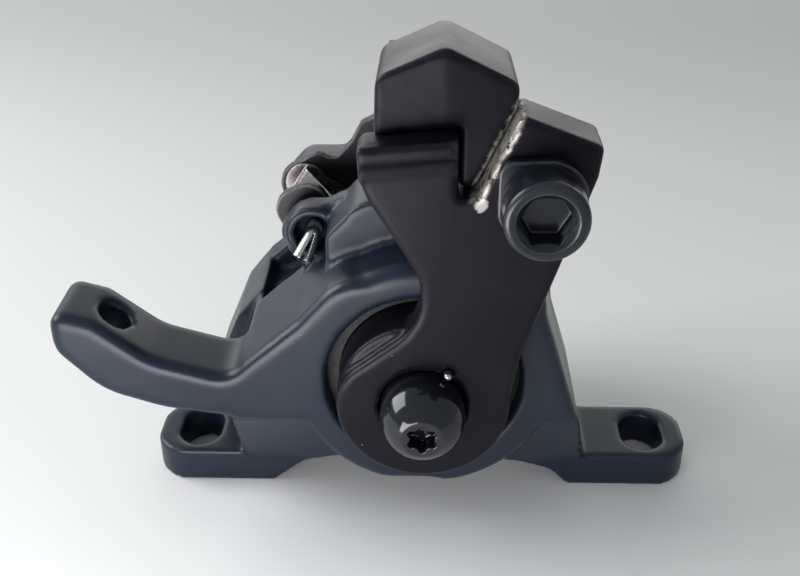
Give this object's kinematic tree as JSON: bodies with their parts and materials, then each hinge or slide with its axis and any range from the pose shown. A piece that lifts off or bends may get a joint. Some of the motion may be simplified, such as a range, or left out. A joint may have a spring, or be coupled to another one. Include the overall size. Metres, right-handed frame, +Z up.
{
  "type": "mechanical disc brake caliper",
  "caption": "Cable-pulled disc brake caliper with slotted lugs, curved cable stop arm, forked arm with a faceted hood, and pads worked by pistons.",
  "frame": {"origin": "midway between the two mount slots, on the mounting face of the lugs", "axes": "+Z up from the mounting face, +X from the cable stop towards the other lug, +Y inboard across the disc"},
  "size_m": [0.0977, 0.0637, 0.0776],
  "materials": {
    "body_paint": "satin blue-black paint on forged aluminium",
    "arm_paint": "satin black paint, chipped to bare metal along the seam",
    "gloss_black_steel": "glossy black",
    "bolt_black_steel": "satin black oxide",
    "bright_steel": "bright zinc-plated",
    "spring_steel": "rolled spring steel",
    "ball_steel": "polished",
    "hard_steel": "ground",
    "pad_black": "black powder coat on steel plate",
    "pad_lining": "sintered friction material",
    "piston_alloy": "turned",
    "bushing_bronze": "turned bronze",
    "seal_rubber": "matt",
    "friction_nylon": "natural nylon"
  },
  "bodies": {
    "caliper": {"caliper_body": "body_paint", "outboard_hub_bushing": "bushing_bronze", "inboard_hub_bushing": "bushing_bronze", "outboard_dust_seal": "seal_rubber", "inboard_dust_seal": "seal_rubber", "pad_retaining_pin": "bright_steel", "pad_spring": "spring_steel"},
    "arm": {"outboard_arm": "arm_paint", "inboard_arm": "arm_paint", "bridge_bolt": "bolt_black_steel", "cable_clamp_washer": "bolt_black_steel", "cable_anchor_bolt": "bolt_black_steel", "return_spring": "bright_steel", "outboard_cam_ring": "hard_steel", "inboard_cam_ring": "hard_steel", "outboard_balls": "ball_steel", "inboard_balls": "ball_steel"},
    "outboard_piston": {"outboard_piston": "piston_alloy", "outboard_piston_seal": "seal_rubber", "outboard_friction_ring": "friction_nylon"},
    "outboard_pad": {"outboard_pad_plate": "pad_black", "outboard_pad_lining": "pad_lining", "outboard_pad_foot": "hard_steel"},
    "outboard_screw": {"outboard_adjuster_screw": "gloss_black_steel"},
    "inboard_piston": {"inboard_piston": "piston_alloy", "inboard_piston_seal": "seal_rubber", "inboard_friction_ring": "friction_nylon"},
    "inboard_pad": {"inboard_pad_plate": "pad_black", "inboard_pad_lining": "pad_lining", "inboard_pad_foot": "hard_steel"},
    "inboard_screw": {"inboard_adjuster_screw": "gloss_black_steel"}
  },
  "joints": [
    {"name": "arm_pull", "type": "hinge", "parent": "caliper", "child": "arm", "pos_m": [0.0005, 0, 0.0264], "axis": [0, -1, 0], "range_deg": [0, 35], "stiffness_Nm_per_rad": 0.2, "springref_deg": -28.65, "deforming": ["return_spring", "pad_spring"]},
    {"name": "outboard_piston_slide", "type": "slide", "parent": "caliper", "child": "outboard_piston", "axis": [0, 1, 0], "range_m": [0, 0.00105]},
    {"name": "outboard_pad_adjust", "type": "slide", "parent": "outboard_piston", "child": "outboard_pad", "axis": [0, 1, 0], "range_m": [-0.001, 0.0004]},
    {"name": "outboard_screw_turn", "type": "hinge", "parent": "outboard_pad", "child": "outboard_screw", "pos_m": [0.0005, 0, 0.0264], "axis": [0, 1, 0], "range_deg": [-450, 180]},
    {"name": "inboard_piston_slide", "type": "slide", "parent": "caliper", "child": "inboard_piston", "axis": [0, -1, 0], "range_m": [0, 0.00105]},
    {"name": "inboard_pad_adjust", "type": "slide", "parent": "inboard_piston", "child": "inboard_pad", "axis": [0, -1, 0], "range_m": [-0.001, 0.0004]},
    {"name": "inboard_screw_turn", "type": "hinge", "parent": "inboard_pad", "child": "inboard_screw", "pos_m": [0.0005, 0, 0.0264], "axis": [0, -1, 0], "range_deg": [-450, 180]}
  ],
  "couplings": [
    {"joint": "outboard_piston_slide", "follows": "arm_pull", "m_per_rad": 0.0017188},
    {"joint": "outboard_screw_turn", "follows": "outboard_pad_adjust", "rad_per_m": 7854},
    {"joint": "inboard_piston_slide", "follows": "arm_pull", "m_per_rad": 0.0017188},
    {"joint": "inboard_screw_turn", "follows": "inboard_pad_adjust", "rad_per_m": 7854}
  ]
}
